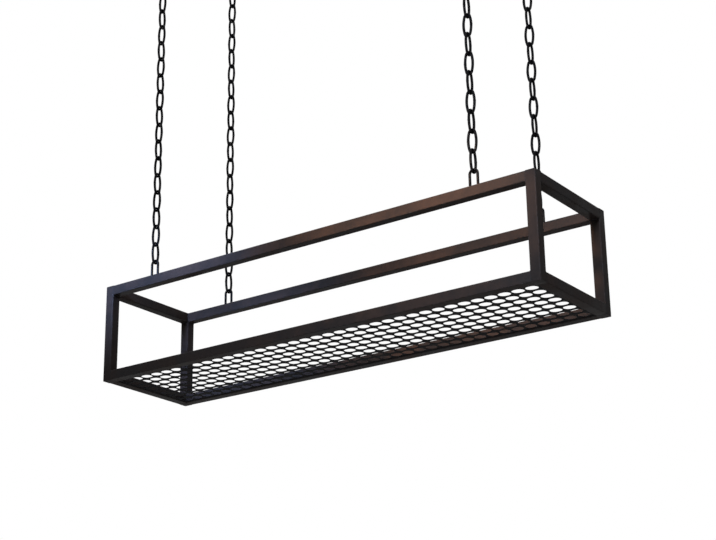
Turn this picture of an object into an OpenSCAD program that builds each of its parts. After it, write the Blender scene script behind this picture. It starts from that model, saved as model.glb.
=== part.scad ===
// Hanging rack: a box frame of square steel tube with a perforated shelf,
// hung on four long-link chains from ceiling hooks.
// Millimetres. The origin is the middle of the four ceiling plates, on the
// ceiling. +Z is up, +X runs along the rack and -Y is its front.

/* [Rack frame] */
// Outside length of the rack, along X
rack_l = 1000; // [600:10:1600]
// Outside depth of the rack, along Y
rack_d = 250; // [180:5:400]
// Outside height of the rack
rack_h = 200; // [120:5:400]
// Outside width of the square tube
tube_w = 20; // [16:1:30]
// Wall thickness of the tube
tube_wall = 1.5; // [1:0.1:1.8]
// Outside corner radius of the tube
tube_corner_r = 2; // [1.9:0.1:4]
// Thickness of the plates that close the posts' ends
cap_t = 2; // [1:0.5:4]

/* [Shelf sheet] */
// Thickness of the perforated sheet
sheet_t = 1; // [0.8:0.1:2]
// Length of a slotted hole, along X
hole_l = 23; // [22:0.5:30]
// Width of a slotted hole, along Y
hole_w = 19; // [10:0.5:21]
// Hole spacing along X
hole_pitch_x = 26.5; // [26:0.5:60]
// Hole spacing along Y
hole_pitch_y = 26; // [24:0.5:60]
// Least plain margin between the holes and the sheet's edge
sheet_margin = 3; // [3:0.5:12]
// Length of one tack weld
tack_l = 8; // [4:1:16]
// Width of a tack weld on the sheet
tack_leg = 2; // [1:0.25:3]
// Angle that a tack weld reaches round the rail's corner
tack_reach = 45; // [30:7.5:60]
// Distance from one tack weld to the next
tack_pitch = 120; // [60:10:240]

/* [Chains] */
// Number of links in each chain, an even number
links_per_chain = 20; // [4:2:30]
// Wire diameter of a link
link_wire_d = 5; // [3:0.25:5.25]
// Outside width of a link
link_w = 21; // [20:0.5:28]
// Length that each link adds to the chain
link_pitch = 38; // [32:1:42]
// Clearance between wires that hang in each other
seat_gap = 0.3; // [0.2:0.05:0.5]

/* [Hanging eyes] */
// Distance from the rack's end to its chains
chain_inset = 125; // [60:5:250]
// Height of the chain's seat in the eye above the top rail
eye_rise = 30; // [24:1:60]
// Wire diameter of the eye
eye_wire_d = 5; // [3:0.25:5.5]
// Outside width of the eye
eye_w = 21; // [19:0.5:28]
// Leg of the weld round each foot of the eye
eye_weld = 1.8; // [1:0.1:3]

/* [Ceiling fittings] */
// Diameter of the ceiling plate
plate_d = 60; // [56:1:90]
// Thickness of the ceiling plate
plate_t = 3; // [2.8:0.1:5]
// Radius of the plate's lower edge
plate_edge_r = 1.5; // [0.5:0.1:2.5]
// Diameter of the boss that carries the hook
boss_d = 13; // [9:0.5:16]
// Height of the boss below the plate
boss_h = 6; // [3:0.5:10]
// Diameter of the screw holes
screw_hole_d = 5; // [4:0.25:5.5]
// Diameter of the screw holes' countersinks
countersink_d = 9; // [8:0.5:10]
// Distance between the two screw holes of a plate
screw_spacing = 42; // [34:1:44]
// Wire diameter of the hook
hook_wire_d = 5; // [4:0.25:6]
// Bend radius of the hook, to the middle of the wire
hook_r = 10; // [9:0.5:10]
// Depth of the hook's bend below the ceiling, to the middle of the wire
hook_reach = 42; // [40:1:60]
// Diameter of the ball where the shank meets the hook's bend
hook_ball_d = 8; // [7:0.5:10]
// Diameter of the ball at the hook's tip
tip_ball_d = 6.5; // [6.5:0.25:8]
// Angle of the hook's tip above the level of the bend's centre
tip_angle = 5; // [0:5:10]

/* [Hidden] */

FRONT = -1;
BACK = 1;
LEFT = -1;
RIGHT = 1;
CORNERS = [[LEFT, FRONT], [RIGHT, FRONT], [LEFT, BACK], [RIGHT, BACK]];

wire_fn = 24;   // sides of a round wire
bend_fn = 48;   // steps round a full bend of wire
round_fn = 48;  // sides of holes, discs and tube corners
cut = 1;        // how far a cutting shape runs past the face it cuts
boss_ledge = 1; // how far the boss's foot stands out round the hook's shank

frame_color = [0.20, 0.18, 0.18];
sheet_color = [0.15, 0.15, 0.16];
weld_color = [0.24, 0.22, 0.21];
chain_color = [0.10, 0.10, 0.11];
fitting_color = [0.14, 0.14, 0.15];

// Frame: centre lines of the tubes and the opening that they leave
post_x = (rack_l - tube_w) / 2;
post_y = (rack_d - tube_w) / 2;
inside_l = rack_l - 2 * tube_w;
inside_d = rack_d - 2 * tube_w;

// Chains: they hang on the centre lines of the long top rails
chain_x = rack_l / 2 - chain_inset;
chain_y = post_y;
eye_bow_r = (eye_w - eye_wire_d) / 2;

// Link: an oval of two end arcs and two side arcs, which meet on the lines through
// their centres. The centre of an end arc is above the link's middle and that of a
// side arc is beside it. The three make a right triangle with sides of whole steps,
// and the step is kept to a short decimal, which keeps every joint exact
steps_up = 7;
steps_beside = 24;
steps_between = 25;
link_half_w = (link_w - link_wire_d) / 2;
link_half_h = (link_pitch + link_wire_d + seat_gap) / 2;
link_steps = steps_up + steps_beside - steps_between;
link_step = round(1000 * (link_half_h - link_half_w) / link_steps) / 1000;
end_arc_r = link_half_w - (steps_between - steps_beside) * link_step;
end_arc_z = steps_up * link_step;
side_arc_x = steps_beside * link_step;
side_arc_r = end_arc_r + steps_between * link_step;

// Hook: its bend starts at the foot of the shank and goes round its own centre
hook_centre_z = hook_r - hook_reach;
shank_foot_z = hook_centre_z + hook_r;
shank_l = -(plate_t + boss_h) - shank_foot_z;

// Heights: seat_z(k) is the level of the contact below link k, and seat_z(0)
// is the contact of the first link with its hook
function seat_z(k) = (hook_wire_d + seat_gap) / 2 - hook_reach - k * link_pitch;
// Middle of a wire that rests on a seat from above, and of one that carries it
function wire_above(z, d) = z + (d + seat_gap) / 2;
function wire_below(z, d) = z - (d + seat_gap) / 2;
rail_top_z = seat_z(links_per_chain) - eye_rise;
rack_z = rail_top_z - rack_h;

// Sheet: it lies where the flat inner face of the rails begins
sheet_z = rack_z + tube_corner_r;
hole_cols = floor((inside_l - 2 * sheet_margin - hole_l) / hole_pitch_x) + 1;
hole_rows = floor((inside_d - 2 * sheet_margin - hole_w) / hole_pitch_y) + 1;

// A square outline with round corners, centred
module round_square(w, r) {
    square([w, w - 2 * r], center = true);
    square([w - 2 * r, w], center = true);
    for (x = [-1, 1], y = [-1, 1])
        translate([x * (w / 2 - r), y * (w / 2 - r)]) circle(r, $fn = round_fn);
}

// A length of square tube along +Z
module tube(length) {
    difference() {
        linear_extrude(length) round_square(tube_w, tube_corner_r);
        translate([0, 0, -cut])
            linear_extrude(length + 2 * cut)
                round_square(tube_w - 2 * tube_wall, tube_corner_r - tube_wall);
    }
}

module post(side_x, side_y) {
    color(frame_color)
        translate([side_x * post_x, side_y * post_y, rack_z + cap_t])
            tube(rack_h - 2 * cap_t);
}

// A rail along X, between two posts
module long_rail(side_y, z) {
    color(frame_color)
        translate([-inside_l / 2, side_y * post_y, z])
            rotate([0, 90, 0]) tube(inside_l);
}

// A rail along Y, between two posts
module short_rail(side_x, z) {
    color(frame_color)
        translate([side_x * post_x, inside_d / 2, z])
            rotate([90, 0, 0]) tube(inside_d);
}

top_rail_z = rail_top_z - tube_w / 2;
bottom_rail_z = rack_z + tube_w / 2;

// The plates that close one end of all four posts
module post_caps(z) {
    color(frame_color)
        for (c = CORNERS)
            translate([c[0] * post_x, c[1] * post_y, z])
                linear_extrude(cap_t) round_square(tube_w, tube_corner_r);
}

// A slot with round ends along X, centred
module slot(length, width) {
    square([length - width, width], center = true);
    for (x = [-1, 1])
        translate([x * (length - width) / 2, 0]) circle(d = width, $fn = round_fn);
}

module shelf_sheet() {
    color(sheet_color)
        translate([0, 0, sheet_z])
            linear_extrude(sheet_t)
                difference() {
                    square([inside_l, inside_d], center = true);
                    for (i = [0 : hole_cols - 1], j = [0 : hole_rows - 1])
                        translate([
                            (i - (hole_cols - 1) / 2) * hole_pitch_x,
                            (j - (hole_rows - 1) / 2) * hole_pitch_y,
                        ])
                            slot(hole_l, hole_w);
                }
}

// Section of a tack weld between the sheet's underside, at y = 0, and the
// round corner of a rail, whose flat face ends at x = 0
module tack_section() {
    difference() {
        polygon([
            [0, 0],
            [tack_leg, 0],
            [tube_corner_r * (cos(tack_reach) - 1), -tube_corner_r * sin(tack_reach)],
        ]);
        translate([-tube_corner_r, 0]) circle(tube_corner_r, $fn = round_fn);
    }
}

// Tack welds in a row along X, centred
module tack_row(length) {
    count = max(2, floor(length / tack_pitch));
    step = length / count;
    for (i = [0 : count - 1])
        translate([(i + 0.5) * step - length / 2 - tack_l / 2, 0, 0])
            rotate([90, 0, 90]) linear_extrude(tack_l) tack_section();
}

module sheet_tack_welds() {
    color(weld_color)
        translate([0, 0, sheet_z])
            for (a = [0, 180])
                rotate(a) {
                    translate([0, -inside_d / 2, 0]) tack_row(inside_l);
                    translate([inside_l / 2, 0, 0]) rotate(90) tack_row(inside_d);
                }
}

// Half a turn of wire in the XZ plane, bulging up, its middle at height top
module bow(bend_r, wire_d, top) {
    translate([0, 0, top - bend_r])
        rotate([90, 0, 0])
            rotate_extrude(angle = 180, $fn = bend_fn)
                translate([bend_r, 0]) circle(d = wire_d, $fn = wire_fn);
}

// Two straight wires in the XZ plane from height low to height high
module legs(bend_r, wire_d, low, high) {
    for (x = [-bend_r, bend_r])
        translate([x, 0, low]) cylinder(d = wire_d, h = high - low, $fn = wire_fn);
}

// A whole ring of link wire in the XY plane
module wire_ring(bend_r) {
    rotate_extrude($fn = bend_fn)
        translate([bend_r, 0]) circle(d = link_wire_d, $fn = wire_fn);
}

// A point past the wire on the line where two arcs of a link meet
function joint_line(bend_r) =
    ceil((bend_r + link_wire_d) / steps_beside) * [steps_beside, steps_up];

// The upper end of a link, in the XY plane, and one of its sides
module end_arc() {
    far = joint_line(end_arc_r);
    high = 2 * far.x;
    intersection() {
        wire_ring(end_arc_r);
        linear_extrude(2 * link_wire_d, center = true)
            polygon([[0, 0], far, [far.x, high], [-far.x, high], [-far.x, far.y]]);
    }
}

module side_arc() {
    far = joint_line(side_arc_r);
    intersection() {
        wire_ring(side_arc_r);
        linear_extrude(2 * link_wire_d, center = true)
            polygon([[0, 0], [far.x, -far.y], far]);
    }
}

// Link number k of a chain, counted down from 1; odd links lie in the XZ plane
module link(k) {
    translate([0, 0, (seat_z(k - 1) + seat_z(k)) / 2])
        rotate([90, 0, k % 2 == 1 ? 0 : 90])
            for (a = [0, 180])
                rotate(a) {
                    translate([0, end_arc_z, 0]) end_arc();
                    translate([-side_arc_x, 0, 0]) side_arc();
                }
}

// Links first to last of the chain at one corner
module chain_links(side_x, side_y, first, last) {
    color(chain_color)
        translate([side_x * chain_x, side_y * chain_y, 0])
            for (k = [first : last]) link(k);
}

module top_link(side_x, side_y) {
    chain_links(side_x, side_y, 1, 1);
}

module chain_run(side_x, side_y) {
    chain_links(side_x, side_y, 2, links_per_chain - 1);
}

module bottom_link(side_x, side_y) {
    chain_links(side_x, side_y, links_per_chain, links_per_chain);
}

// A bent wire eye that stands on the top rail, with a weld round each foot
module hanging_eye(side_x, side_y) {
    top = wire_above(seat_z(links_per_chain), eye_wire_d);
    color(fitting_color)
        translate([side_x * chain_x, side_y * chain_y, 0]) {
            bow(eye_bow_r, eye_wire_d, top);
            legs(eye_bow_r, eye_wire_d, rail_top_z + eye_weld, top - eye_bow_r);
            for (x = [-eye_bow_r, eye_bow_r])
                translate([x, 0, rail_top_z])
                    cylinder(d1 = eye_wire_d + 2 * eye_weld, d2 = eye_wire_d,
                        h = eye_weld, $fn = wire_fn);
        }
}

// An open hook in the YZ plane, its mouth facing away from the rack's middle
module ceiling_hook(side_x, side_y) {
    color(fitting_color)
        translate([side_x * chain_x, side_y * chain_y, 0]) {
            translate([0, 0, shank_foot_z]) {
                cylinder(d = hook_wire_d, h = shank_l, $fn = wire_fn);
                sphere(d = hook_ball_d, $fn = round_fn);
            }
            translate([0, 0, hook_centre_z])
                rotate([90, 0, side_y * 90]) {
                    rotate_extrude(angle = 270 + tip_angle, start = 90, $fn = bend_fn)
                        translate([hook_r, 0]) circle(d = hook_wire_d, $fn = wire_fn);
                    rotate(tip_angle)
                        translate([hook_r, 0, 0]) sphere(d = tip_ball_d, $fn = round_fn);
                }
        }
}

// A round plate flat on the ceiling, with a flared boss and two screw holes
module ceiling_plate(side_x, side_y) {
    color(fitting_color)
        translate([side_x * chain_x, side_y * chain_y, 0])
            mirror([0, 0, 1])
                difference() {
                    union() {
                        plate_disc();
                        translate([0, 0, plate_t])
                            cylinder(d1 = boss_d, d2 = hook_wire_d + 2 * boss_ledge,
                                h = boss_h, $fn = round_fn);
                    }
                    for (x = [-1, 1])
                        translate([x * screw_spacing / 2, 0, 0]) screw_hole();
                }
}

// The disc of the plate, from z = 0 down, with its far edge rounded
module plate_disc() {
    rotate_extrude($fn = round_fn) {
        square([plate_d / 2 - plate_edge_r, plate_t]);
        square([plate_d / 2, plate_t - plate_edge_r]);
        translate([plate_d / 2 - plate_edge_r, plate_t - plate_edge_r])
            intersection() {
                circle(plate_edge_r, $fn = round_fn);
                square(plate_edge_r);
            }
    }
}

// A countersunk hole through the plate, widest at z = plate_t
module screw_hole() {
    sink_depth = (countersink_d - screw_hole_d) / 2;
    translate([0, 0, -cut])
        cylinder(d = screw_hole_d, h = plate_t + 2 * cut, $fn = round_fn);
    translate([0, 0, plate_t - sink_depth])
        cylinder(d1 = screw_hole_d, d2 = countersink_d, h = sink_depth, $fn = round_fn);
}

post(LEFT, FRONT);  // post_front_left
post(RIGHT, FRONT);  // post_front_right
post(LEFT, BACK);  // post_back_left
post(RIGHT, BACK);  // post_back_right
long_rail(FRONT, top_rail_z);  // top_rail_front
long_rail(BACK, top_rail_z);  // top_rail_back
short_rail(LEFT, top_rail_z);  // top_rail_left
short_rail(RIGHT, top_rail_z);  // top_rail_right
long_rail(FRONT, bottom_rail_z);  // bottom_rail_front
long_rail(BACK, bottom_rail_z);  // bottom_rail_back
short_rail(LEFT, bottom_rail_z);  // bottom_rail_left
short_rail(RIGHT, bottom_rail_z);  // bottom_rail_right
post_caps(rail_top_z - cap_t);  // post_top_caps
post_caps(rack_z);  // post_bottom_caps
shelf_sheet();
sheet_tack_welds();
hanging_eye(LEFT, FRONT);  // hanging_eye_front_left
hanging_eye(RIGHT, FRONT);  // hanging_eye_front_right
hanging_eye(LEFT, BACK);  // hanging_eye_back_left
hanging_eye(RIGHT, BACK);  // hanging_eye_back_right
bottom_link(LEFT, FRONT);  // bottom_link_front_left
bottom_link(RIGHT, FRONT);  // bottom_link_front_right
bottom_link(LEFT, BACK);  // bottom_link_back_left
bottom_link(RIGHT, BACK);  // bottom_link_back_right
chain_run(LEFT, FRONT);  // chain_run_front_left
chain_run(RIGHT, FRONT);  // chain_run_front_right
chain_run(LEFT, BACK);  // chain_run_back_left
chain_run(RIGHT, BACK);  // chain_run_back_right
top_link(LEFT, FRONT);  // top_link_front_left
top_link(RIGHT, FRONT);  // top_link_front_right
top_link(LEFT, BACK);  // top_link_back_left
top_link(RIGHT, BACK);  // top_link_back_right
ceiling_hook(LEFT, FRONT);  // ceiling_hook_front_left
ceiling_hook(RIGHT, FRONT);  // ceiling_hook_front_right
ceiling_hook(LEFT, BACK);  // ceiling_hook_back_left
ceiling_hook(RIGHT, BACK);  // ceiling_hook_back_right
ceiling_plate(LEFT, FRONT);  // ceiling_plate_front_left
ceiling_plate(RIGHT, FRONT);  // ceiling_plate_front_right
ceiling_plate(LEFT, BACK);  // ceiling_plate_back_left
ceiling_plate(RIGHT, BACK);  // ceiling_plate_back_right
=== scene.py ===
"""The looks of a hanging rack: a welded box frame of square tube with a punched shelf,
hung on four long-link chains. Lengths are metres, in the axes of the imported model."""

import math
from collections import namedtuple

import bmesh
import bpy
import numpy as np
from bpy.props import FloatProperty, FloatVectorProperty, IntProperty, PointerProperty
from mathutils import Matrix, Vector


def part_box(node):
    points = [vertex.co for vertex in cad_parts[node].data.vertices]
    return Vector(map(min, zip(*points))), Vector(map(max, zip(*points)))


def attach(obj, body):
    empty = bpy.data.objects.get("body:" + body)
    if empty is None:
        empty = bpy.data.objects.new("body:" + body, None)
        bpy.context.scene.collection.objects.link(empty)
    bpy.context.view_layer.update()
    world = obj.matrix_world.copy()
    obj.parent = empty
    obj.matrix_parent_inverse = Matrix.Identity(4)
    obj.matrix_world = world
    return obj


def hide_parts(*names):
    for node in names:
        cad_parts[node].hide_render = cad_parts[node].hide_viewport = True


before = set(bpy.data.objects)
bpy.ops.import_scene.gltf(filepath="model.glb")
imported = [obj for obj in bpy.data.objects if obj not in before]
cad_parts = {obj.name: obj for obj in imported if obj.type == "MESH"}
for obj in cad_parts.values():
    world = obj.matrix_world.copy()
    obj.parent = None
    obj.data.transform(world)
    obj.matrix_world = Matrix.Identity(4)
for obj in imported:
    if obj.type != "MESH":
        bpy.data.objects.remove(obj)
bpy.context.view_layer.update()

bl_info = {
    "name": "Hanging Rack",
    "version": (1, 0, 0),
    "blender": (4, 5, 0),
    "location": "3D View > Sidebar > Rack",
    "description": "Welded tube frame, punched shelf, long-link chains and ceiling hooks",
    "category": "Add Mesh",
}

CORNERS = ("front_left", "front_right", "back_left", "back_right")
SIDES = {"front": (0, -1), "back": (0, 1), "left": (-1, 0), "right": (1, 0)}
X, Y, Z = np.eye(3)
MM = 0.001
POINT = 1e-6  # points nearer than this count as one
NEVER_ZERO = 1e-9  # keeps a divisor above zero


def node_box(node):
    """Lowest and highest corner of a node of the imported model, as arrays."""
    low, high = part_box(node)
    return np.array(low), np.array(high)


def node_middle(node):
    """Middle of a node's box."""
    return sum(node_box(node)) / 2


POST_LOW, POST_HIGH = node_box("post_front_left")
LINK_LOW, LINK_HIGH = node_box("top_link_front_left")
EYE_LOW, EYE_HIGH = node_box("hanging_eye_front_left")
PLATE_LOW, PLATE_HIGH = node_box("ceiling_plate_front_left")
TUBE_WIDTH = float(POST_HIGH[0] - POST_LOW[0])
RACK_BOTTOM = float(node_box("post_bottom_caps")[0][2])
RAIL_TOP = float(node_box("top_rail_front")[1][2])
LINK_WIDTH = float(LINK_HIGH[0] - LINK_LOW[0])
LINK_WIRE = float(LINK_HIGH[1] - LINK_LOW[1])
EYE_WIRE = LINK_WIRE
EYE_WELD = float(EYE_HIGH[1] - EYE_LOW[1] - EYE_WIRE) / 2


# ---------------------------------------------------------------- sizes and colours


def number(name, about, default, low=0.0, high=1.0, kind=FloatProperty, **more):
    """A property that holds a number."""
    return kind(name=name, description=about, default=default, min=low, max=high, **more)


def length(name, about, default, low=0.0, high=1.0):
    """A property that holds a length."""
    return number(name, about, default, low, high, unit="LENGTH", precision=5)


def angle(name, about, degrees):
    """A property that holds an angle."""
    radians = math.radians(degrees)
    return FloatProperty(name=name, description=about, default=radians, subtype="ANGLE")


def paint(name, about, default):
    """A property that holds a colour."""
    return number(name, about, default, kind=FloatVectorProperty, subtype="COLOR")


class RackTubeSizes(bpy.types.PropertyGroup):
    """Sizes of the square tube and of the welds that join it"""

    corner: length("Corner radius", "Outside corner radius of the tube", 2.0 * MM)
    cut_round: length("Cut rounding", "Rounding of the tube's cut ends and caps", 0.3 * MM)
    weld_half_width: length("Weld half width", "Half the width of a weld bead", 1.9 * MM)
    weld_half_height: length("Weld half height", "Half the thickness of a weld bead", 1.2 * MM)
    dressed_sink: length("Dressed sink", "Depth of a weld that was ground flush", 0.01 * MM)
    fillet_crown: length("Fillet crown", "Height of a weld left as it was laid", 1.1 * MM)
    ripple: length("Ripple", "Length of one ripple along a weld", 1.9 * MM, 0.0005)


class RackShelfSizes(bpy.types.PropertyGroup):
    """Sizes of the punched sheet"""

    hole_length: length("Slot length", "Length of a slot, along X", 23.0 * MM)
    hole_width: length("Slot width", "Width of a slot, along Y", 19.0 * MM)
    pitch_x: length("Pitch along X", "Distance between slots along X", 26.5 * MM)
    pitch_y: length("Pitch along Y", "Distance between slots along Y", 26.0 * MM)
    margin: length("Margin", "Least plain margin beside the slots", 3.0 * MM)
    punch_round: length("Punch rounding", "Rounding that the punch leaves on a slot", 0.3 * MM)
    tack_length: length("Tack length", "Length of a tack weld", 8.0 * MM)
    tack_pitch: length("Tack pitch", "Greatest distance between tack welds", 120.0 * MM)
    tack_radius: length("Tack radius", "Radius of a tack weld's bead", 1.25 * MM)


class RackChainSizes(bpy.types.PropertyGroup):
    """Sizes of the chain's links and the eyes that they hang in"""

    rise: length("Rise", "Length that each link adds to the chain", 38.0 * MM)
    seam_swell: number("Seam swell", "Share by which a welded seam is thicker", 0.1, 0.0, 0.3)
    seam_width: length("Seam width", "Half the width of the welded seam", 1.3 * MM, 0.0001)
    rub_width: length("Rub width", "Half the width of a rubbed seat", 2.6 * MM, 0.0001)
    turn: angle("Turn", "Greatest turn of a link about the chain's line", 2.5)
    rings: number("Rings", "Rings of points round a link", 72, 24, 200, IntProperty)
    sides: number("Sides", "Points round the wire", 14, 6, 48, IntProperty)


class RackFittingSizes(bpy.types.PropertyGroup):
    """Sizes of the ceiling plates and hooks"""

    hook_wire: length("Hook wire", "Diameter of the hook's wire", 5.0 * MM)
    hook_radius: length("Hook radius", "Radius of the hook's bend", 10.0 * MM)
    hook_ball: length("Hook ball", "Diameter of the ball at the shank's foot", 8.0 * MM)
    tip_ball: length("Tip ball", "Diameter of the ball at the hook's tip", 6.5 * MM)
    tip_angle: angle("Tip angle", "Angle of the tip above the centre of the bend", 5.0)
    plate_thickness: length("Plate thickness", "Thickness of the ceiling plate", 3.0 * MM)
    plate_edge: length("Plate edge", "Radius of the plate's lower edge", 1.5 * MM)
    boss: length("Boss", "Diameter of the boss at the plate", 13.0 * MM)
    boss_tip: length("Boss tip", "Diameter of the boss at the hook", 7.0 * MM)
    boss_height: length("Boss height", "Height of the boss below the plate", 6.0 * MM)
    screw_hole: length("Screw hole", "Diameter of a screw hole", 5.0 * MM)
    countersink: length("Countersink", "Diameter of a countersink", 9.0 * MM)
    screw_spacing: length("Screw spacing", "Distance between a plate's holes", 42.0 * MM)


class RackFinish(bpy.types.PropertyGroup):
    """Colours of the coats and of the steel under them"""

    frame_coat: paint("Frame coat", "Paint of the tube frame", (0.048, 0.045, 0.048))
    sheet_coat: paint("Sheet coat", "Paint of the punched shelf", (0.020, 0.019, 0.021))
    chain_coat: paint("Chain coat", "Coating of the chains and eyes", (0.006, 0.006, 0.008))
    fitting_coat: paint("Fitting coat", "Paint of the hooks and plates", (0.020, 0.019, 0.020))
    steel: paint("Steel", "Steel where the coat is worn away", (0.17, 0.16, 0.155))
    dust: paint("Dust", "Fine dust on faces that look up", (0.26, 0.25, 0.235))


class RackStage(bpy.types.PropertyGroup):
    """Camera, lights and background"""

    camera_place: FloatVectorProperty(
        name="Camera place",
        description="Camera from the middle of the rack's underside",
        default=(1.670, -2.294, -0.854),
        subtype="TRANSLATION",
    )
    camera_yaw: angle("Camera yaw", "Turn of the camera to the left of +Y", 38.1)
    camera_pitch: angle("Camera pitch", "Tilt of the camera above the horizon", 19.2)
    lens: number("Lens", "Focal length in mm on a 36 mm sensor", 78.94, 10.0, 300.0)
    shift_x: number("Shift X", "Lens shift to the right", 0.10, -1.0)
    shift_y: number("Shift Y", "Lens shift upwards", 0.02, -1.0)
    floor_drop: length(
        "Floor drop", "Height of the rack's underside above the floor", 1.9, 0.1, 4.0
    )
    floor_color: paint("Floor", "Colour of the floor", (0.80, 0.80, 0.79))
    floor_white: number("Floor white", "Share of plain white in the floor under the rack", 0.9)
    sky: number("Sky", "Strength of the light from all round", 0.06)


PROPERTIES = {
    "rack_tubes": RackTubeSizes,
    "rack_shelf": RackShelfSizes,
    "rack_chain": RackChainSizes,
    "rack_fittings": RackFittingSizes,
    "rack_finish": RackFinish,
    "rack_stage": RackStage,
}


# ---------------------------------------------------------------- surfaces

Surface = namedtuple("Surface", "points quads tris edge rub")


def lattice_quads(rows, columns, close_rows):
    """Faces between neighbouring points of a grid, whose columns close on themselves.

    Quad (i, j) joins (i, j), (i, j + 1), (i + 1, j + 1) and (i + 1, j)."""
    index = np.arange(rows * columns).reshape(rows, columns)
    below = np.roll(index, -1, axis=0) if close_rows else index[1:]
    above = index if close_rows else index[:-1]
    corners = (above, np.roll(above, -1, axis=1), np.roll(below, -1, axis=1), below)
    return np.stack(corners, axis=-1).reshape(-1, 4)


def sweep(path, across, up, section, close=False, edge=0.0, rub=0.0):
    """A section carried along a path: point (i, j) is path i, plus the section's first
    coordinate times across i, plus its second times up i. The section, across and up may
    each be one for the whole path. Its faces look outward where across x up runs along
    the path, and inward where it runs against it."""
    count = len(path)
    across, up = np.broadcast_to(across, path.shape), np.broadcast_to(up, path.shape)
    section = np.broadcast_to(section, (count,) + np.shape(section)[-2:])
    sides = section.shape[1]
    offsets = section[..., :1] * across[:, None] + section[..., 1:] * up[:, None]
    points = (path[:, None] + offsets).reshape(-1, 3)
    quads = lattice_quads(count, sides, close)
    tris = np.zeros((0, 3), int)
    edge = np.broadcast_to(edge, (count, sides)).ravel()
    rub = np.broadcast_to(rub, (count, sides)).ravel()
    if not close:
        ring = np.arange(sides)
        first, last = len(points), len(points) + 1
        start = np.stack([np.full(sides, first), np.roll(ring, -1), ring], 1)
        tail = ring + (count - 1) * sides
        finish = np.stack([np.full(sides, last), tail, np.roll(tail, -1)], 1)
        middles = points.reshape(count, sides, 3)[[0, -1]].mean(axis=1)
        points = np.concatenate([points, middles])
        tris = np.concatenate([start, finish])
        edge = np.append(edge, [0.0, 0.0])
        rub = np.append(rub, [0.0, 0.0])
    return Surface(points, quads, tris, edge, rub)


def circle(sides):
    """A unit circle, anticlockwise: (cos a, sin a)."""
    turn = np.arange(sides) / sides * 2 * np.pi
    return np.stack([np.cos(turn), np.sin(turn)], axis=1)


def circles(radii, sides):
    """A circle of each radius, as the sections of a path."""
    return np.asarray(radii)[:, None, None] * circle(sides)


def lathe(base, radii, heights, sides):
    """A round shape about an upright axis: ring i has radius radii[i] at heights[i]."""
    path = base + np.asarray(heights)[:, None] * Z
    return sweep(path, X, Y, circles(radii, sides))


def joined(surfaces):
    """One surface that holds several."""
    starts = np.cumsum([0] + [len(s.points) for s in surfaces])
    return Surface(
        np.concatenate([s.points for s in surfaces]),
        np.concatenate([s.quads + n for s, n in zip(surfaces, starts)]),
        np.concatenate([s.tris + n for s, n in zip(surfaces, starts)]),
        np.concatenate([s.edge for s in surfaces]),
        np.concatenate([s.rub for s in surfaces]),
    )


def mesh_of(name, surfaces, sharp=math.radians(40)):
    """A mesh with the marks of its edges and rubbed places kept as point attributes."""
    whole = joined(surfaces)
    mesh = bpy.data.meshes.new(name)
    mesh.from_pydata(whole.points, [], whole.quads.tolist() + whole.tris.tolist())
    for mark in ("edge", "rub"):
        layer = mesh.attributes.new(mark, "FLOAT", "POINT")
        layer.data.foreach_set("value", np.ascontiguousarray(getattr(whole, mark), np.float32))
    mesh.shade_smooth()
    mesh.set_sharp_from_angle(angle=sharp)
    mesh.update()
    return mesh


def new_object(name, data):
    """An object that is in the scene."""
    made = bpy.data.objects.new(name, data)
    bpy.context.scene.collection.objects.link(made)
    return made


def place(mesh, coat, body, nodes=()):
    """Puts a mesh into the scene as a piece that rides on a body and stands for nodes."""
    piece = new_object(mesh.name, mesh)
    mesh.materials.append(coated_steel(coat))
    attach(piece, body)
    if nodes:
        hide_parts(*nodes)


def piece_of(name, surfaces, coat, body, nodes=()):
    """Makes a piece from its surfaces and puts it into the scene."""
    place(mesh_of(name, surfaces), coat, body, nodes)


def smooth_step(value):
    """0 below 0, 1 above 1, and 3 v^2 - 2 v^3 between."""
    value = np.clip(value, 0, 1)
    return value * value * (3 - 2 * value)


# ---------------------------------------------------------------- tube, caps and welds


def rounded_square(width, radius):
    """Outline of a square with round corners, its outward normals and its corner marks.

    Each corner is an arc of eight parts, with one more point a little way along the flat
    on each side, which keeps the flats flat when the surface is shaded smooth."""
    parts, lead_share = 8, 0.15
    turn = np.linspace(0, np.pi / 2, parts + 1)
    flat = width / 2 - radius
    lead = min(radius * lead_share, flat)
    arc = np.stack([np.cos(turn), np.sin(turn)], 1)
    points = np.concatenate([[[radius, -lead]], radius * arc, [[-lead, radius]]]) + flat
    normals = np.concatenate([[[1, 0]], arc, [[0, 1]]])
    marks = np.concatenate([[0], np.sin(2 * turn), [0]])
    corners = [np.eye(2), [[0, -1], [1, 0]], [[-1, 0], [0, -1]], [[0, 1], [-1, 0]]]
    outline = np.concatenate([points @ np.array(c).T for c in corners])
    outward = np.concatenate([normals @ np.array(c).T for c in corners])
    return outline, outward, np.tile(marks, 4)


def bar(low, high, axis, tubes):
    """A bar of square section between two corners of its box, its ends rounded over.

    Near an end the section draws in by cut_round (1 - sin a) while the path goes
    cut_round (1 - cos a) from the end, so the two make a quarter circle."""
    along = np.eye(3)[axis]
    across = np.eye(3)[(axis + 1) % 3]
    up = np.cross(along, across)
    middle = (low + high) / 2
    width = (high - low)[(axis + 1) % 3]
    outline, outward, marks = rounded_square(width, tubes.corner)
    turn = np.linspace(0, np.pi / 2, 4)
    draw = tubes.cut_round * (1 - np.sin(turn))
    step = tubes.cut_round * (1 - np.cos(turn))
    reach = (high - low)[axis]
    heights = np.concatenate([step, reach - step[::-1]]) - reach / 2
    draws = np.concatenate([draw, draw[::-1]])
    section = outline - draws[:, None, None] * outward
    rims = smooth_step(draws / tubes.cut_round * 2)[:, None]
    path = middle + heights[:, None] * along
    return sweep(path, across, up, section, edge=np.maximum(marks, rims))


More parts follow.
